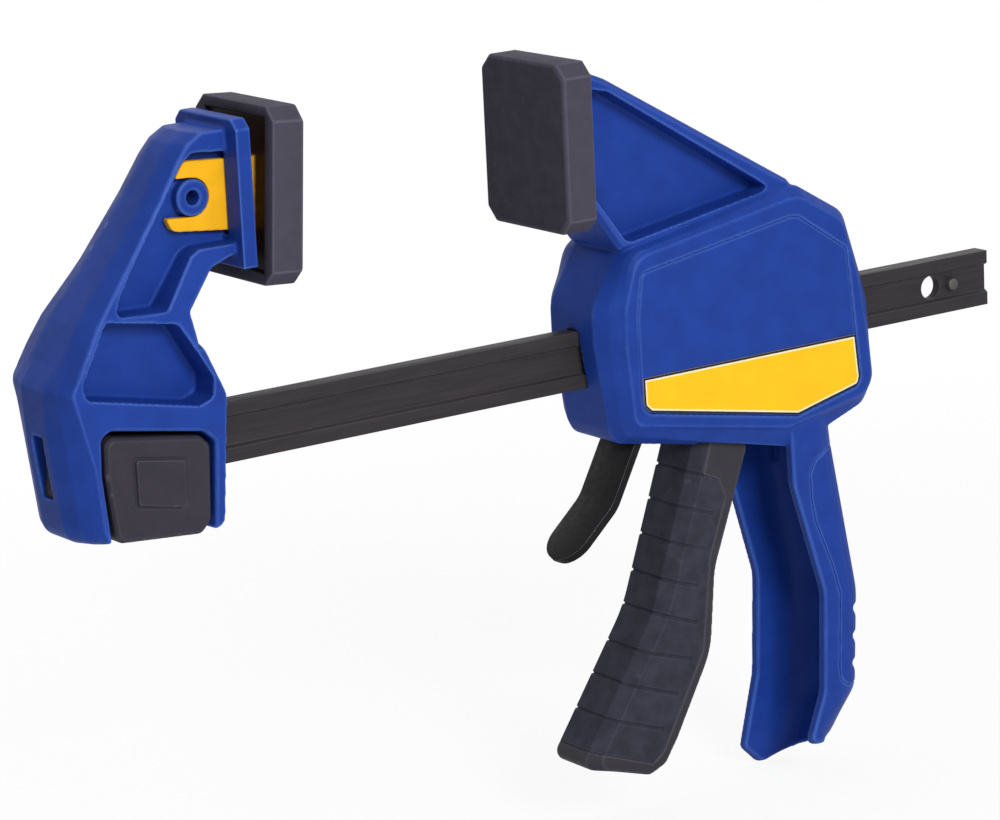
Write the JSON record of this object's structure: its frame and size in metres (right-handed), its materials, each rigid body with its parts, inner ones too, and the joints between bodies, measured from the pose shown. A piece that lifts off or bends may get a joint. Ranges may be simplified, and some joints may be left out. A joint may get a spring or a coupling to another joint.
{
  "type": "quick release bar clamp",
  "caption": "One-handed bar clamp: a pistol-grip jaw slides on a steel bar towards a fixed jaw with a tilting pad, and a lever lets it go.",
  "frame": {"origin": "centre of the hole through the free end of the bar, on the bar's axis", "axes": "+X along the bar towards its free end, +Z towards the side the jaws stand on, +Y across the bar to the far side"},
  "size_m": [0.392, 0.0472, 0.2744],
  "materials": {
    "bar_steel": "dark brown-black oxide, satin",
    "pin_steel": "plain turned steel",
    "blue_nylon": "glass-filled nylon, satin",
    "dark_nylon": "dark grey glass-filled nylon, satin",
    "spring_steel": "bright drawn spring wire",
    "yellow_nylon": "amber yellow moulding, satin",
    "black_rubber": "smooth black rubber",
    "yellow_film": "yellow printed band, left blank",
    "blue_soft": "blue overmoulded rubber",
    "grip_rubber": "black ribbed rubber",
    "plate_steel": "hardened steel plate",
    "lever_steel": "black oxide stamped steel"
  },
  "bodies": {
    "bar_and_fixed_jaw": {"bar": "bar_steel", "stop_pin": "pin_steel", "fixed_jaw": "blue_nylon"},
    "release_button": {"release_button": "dark_nylon", "latch_pin": "pin_steel", "button_spring": "spring_steel"},
    "tilting_pad": {"pad_carrier": "yellow_nylon", "fixed_pad": "black_rubber"},
    "moving_jaw": {"jaw_body": "blue_nylon", "side_cover_near": "blue_nylon", "side_cover_far": "blue_nylon", "label_band_near": "yellow_film", "label_band_far": "yellow_film", "moving_pad": "black_rubber", "palm_grip": "blue_soft", "trigger_pin": "pin_steel", "drive_spring": "spring_steel", "brake_spring": "spring_steel"},
    "trigger": {"trigger_core": "dark_nylon", "trigger_grip": "grip_rubber"},
    "drive_plates": {"drive_plate_front": "plate_steel", "drive_plate_rear": "plate_steel"},
    "release_lever": {"release_lever": "lever_steel"}
  },
  "joints": [
    {"name": "jaw_slide", "type": "slide", "parent": "bar_and_fixed_jaw", "child": "moving_jaw", "axis": [1, 0, 0], "range_m": [-0.0989, 0.0487]},
    {"name": "trigger_squeeze", "type": "hinge", "parent": "moving_jaw", "child": "trigger", "pos_m": [-0.10194, 0, 0.02604], "axis": [0, -1, 0], "range_deg": [0, 22], "stiffness_Nm_per_rad": 0.8, "springref_deg": -8.59},
    {"name": "drive_slide", "type": "slide", "parent": "moving_jaw", "child": "drive_plates", "axis": [1, 0, 0], "range_m": [0, 0.0097], "deforming": ["drive_spring"]},
    {"name": "lever_release", "type": "hinge", "parent": "moving_jaw", "child": "release_lever", "pos_m": [-0.12745, 0, 0.02102], "axis": [0, -1, 0], "range_deg": [0, 5.4], "stiffness_Nm_per_rad": 1.5, "springref_deg": -2.86, "deforming": ["brake_spring"]},
    {"name": "button_push", "type": "slide", "parent": "bar_and_fixed_jaw", "child": "release_button", "axis": [0, 1, 0], "range_m": [0, 0.0042], "stiffness_N_per_m": 800, "springref_m": -0.002, "deforming": ["button_spring"]},
    {"name": "pad_tilt", "type": "hinge", "parent": "bar_and_fixed_jaw", "child": "tilting_pad", "pos_m": [-0.3096, 0, 0.079], "axis": [0, 1, 0], "range_deg": [-9.6, 1.2]}
  ],
  "couplings": [
    {"joint": "drive_slide", "follows": "trigger_squeeze", "m_per_rad": 0.025}
  ]
}
